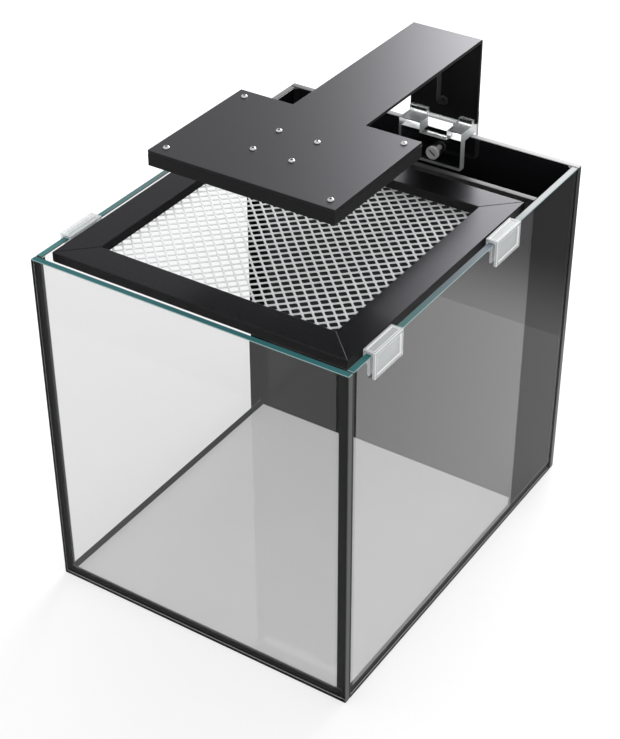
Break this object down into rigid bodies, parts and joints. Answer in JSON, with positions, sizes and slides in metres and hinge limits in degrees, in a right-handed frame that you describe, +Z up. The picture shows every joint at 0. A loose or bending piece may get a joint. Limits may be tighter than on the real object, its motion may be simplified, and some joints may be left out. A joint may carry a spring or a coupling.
{
  "type": "rimless nano aquarium with lamp",
  "caption": "Rimless glass nano aquarium with black rear filter chamber, framed mesh lid on clear clips, and a flat T-shaped lamp on a clear clamp bracket.",
  "frame": {"origin": "centre of the underside of the tank's bottom glass", "axes": "+X to the right seen from the front, -Y to the front, +Z up"},
  "size_m": [0.3108, 0.4767, 0.4316],
  "materials": {
    "clear_glass": "clear float glass with a blue-green edge",
    "black_glass": "black-backed glass",
    "silicone": "black silicone sealant, smoothed fillet",
    "black_film": "black film behind the side panes",
    "black_acrylic": "glossy black acrylic sheet",
    "black_plastic": "black moulded plastic",
    "black_rubber": "black flexible rubber",
    "ceramic": "porous ceramic filter media",
    "sponge": "open-cell filter sponge",
    "clear_acrylic": "clear cast acrylic, polished",
    "anodised": "satin black anodised",
    "bare_aluminium": "machined, bare",
    "circuit_board": "white solder mask",
    "netting": "clear extruded netting",
    "clip_plastic": "clear to frosted moulded plastic",
    "white_nylon": "white nylon",
    "steel": "stainless, bright"
  },
  "bodies": {
    "root": {"front_glass": "clear_glass", "back_glass": "black_glass", "left_glass": "clear_glass", "right_glass": "clear_glass", "bottom_glass": "clear_glass", "seam_base": "silicone", "seam_front_left": "silicone", "seam_front_right": "silicone", "seam_back_left": "silicone", "seam_back_right": "silicone", "side_film_left": "black_film", "side_film_right": "black_film", "divider_wall": "black_acrylic", "baffle_left": "black_acrylic", "baffle_right": "black_acrylic", "pump_body": "black_plastic", "pump_intake": "black_plastic", "media_block": "ceramic", "outlet_hose": "black_rubber", "return_elbow": "black_plastic", "lamp_bracket": "clear_acrylic", "lead_tube": "black_rubber", "lead_coil": "black_rubber", "lead_plug": "black_rubber"},
    "lid": {"lid_rail_front": "anodised", "lid_rail_right": "anodised", "lid_rail_back": "anodised", "lid_rail_left": "anodised", "lid_key_front_left": "black_plastic", "lid_key_front_right": "black_plastic", "lid_key_back_right": "black_plastic", "lid_key_back_left": "black_plastic", "lid_spline": "black_rubber", "lid_mesh": "netting"},
    "lamp": {"lamp_plate": "anodised", "lamp_housing": "anodised", "lamp_heat_spreader": "bare_aluminium", "lamp_led_board": "circuit_board", "lamp_window": "clear_acrylic", "lamp_cable": "black_rubber", "cable_grommet": "black_rubber", "corner_screw_front_left": "steel", "corner_screw_front_right": "steel", "corner_screw_back_left": "steel", "corner_screw_back_right": "steel", "centre_screw_front_left": "steel", "centre_screw_front_right": "steel", "centre_screw_back_left": "steel", "centre_screw_back_right": "steel"},
    "clip_front_left": {"lid_clip_front_left": "clip_plastic"},
    "clip_front_right": {"lid_clip_front_right": "clip_plastic"},
    "clip_back_left": {"lid_clip_back_left": "clip_plastic"},
    "clip_back_right": {"lid_clip_back_right": "clip_plastic"},
    "clamp_pad": {"thumb_screw_pad": "black_rubber"},
    "clamp_screw": {"thumb_screw": "white_nylon"},
    "nozzle": {"return_nozzle": "black_plastic"},
    "impeller": {"pump_impeller": "white_nylon"},
    "basket": {"media_basket": "black_acrylic", "filter_sponge": "sponge"}
  },
  "joints": [
    {"name": "lid_lift", "type": "slide", "parent": "root", "child": "lid", "axis": [0, 0, 1], "range_m": [0, 0.07]},
    {"name": "lamp_lift", "type": "slide", "parent": "root", "child": "lamp", "axis": [0, 0, 1], "range_m": [0, 0.1]},
    {"name": "clip_slide_front_left", "type": "slide", "parent": "root", "child": "clip_front_left", "axis": [0, 1, 0], "range_m": [-0.025, 0.06]},
    {"name": "clip_slide_front_right", "type": "slide", "parent": "root", "child": "clip_front_right", "axis": [0, 1, 0], "range_m": [-0.02, 0.06]},
    {"name": "clip_slide_back_left", "type": "slide", "parent": "root", "child": "clip_back_left", "axis": [0, 1, 0], "range_m": [-0.06, 0.025]},
    {"name": "clip_slide_back_right", "type": "slide", "parent": "root", "child": "clip_back_right", "axis": [0, 1, 0], "range_m": [-0.06, 0.025]},
    {"name": "pad_slide", "type": "slide", "parent": "root", "child": "clamp_pad", "axis": [0, -1, 0], "range_m": [0, 0.002]},
    {"name": "thumb_screw_turn", "type": "hinge", "parent": "clamp_pad", "child": "clamp_screw", "pos_m": [0.0163, 0.1855, 0.3216], "axis": [0, -1, 0], "range_deg": [0, 725]},
    {"name": "nozzle_swivel", "type": "hinge", "parent": "root", "child": "nozzle", "pos_m": [-0.042, 0.108, 0.295], "axis": [0, 1, 0], "range_deg": [-90, 90]},
    {"name": "impeller_spin", "type": "hinge", "parent": "root", "child": "impeller", "pos_m": [-0.034, 0.138, 0.028], "axis": [0, 1, 0], "continuous": true},
    {"name": "basket_lift", "type": "slide", "parent": "root", "child": "basket", "axis": [0, 0, 1], "range_m": [0, 0.2]}
  ],
  "couplings": [
    {"joint": "thumb_screw_turn", "follows": "pad_slide", "rad_per_m": 6283.2}
  ]
}
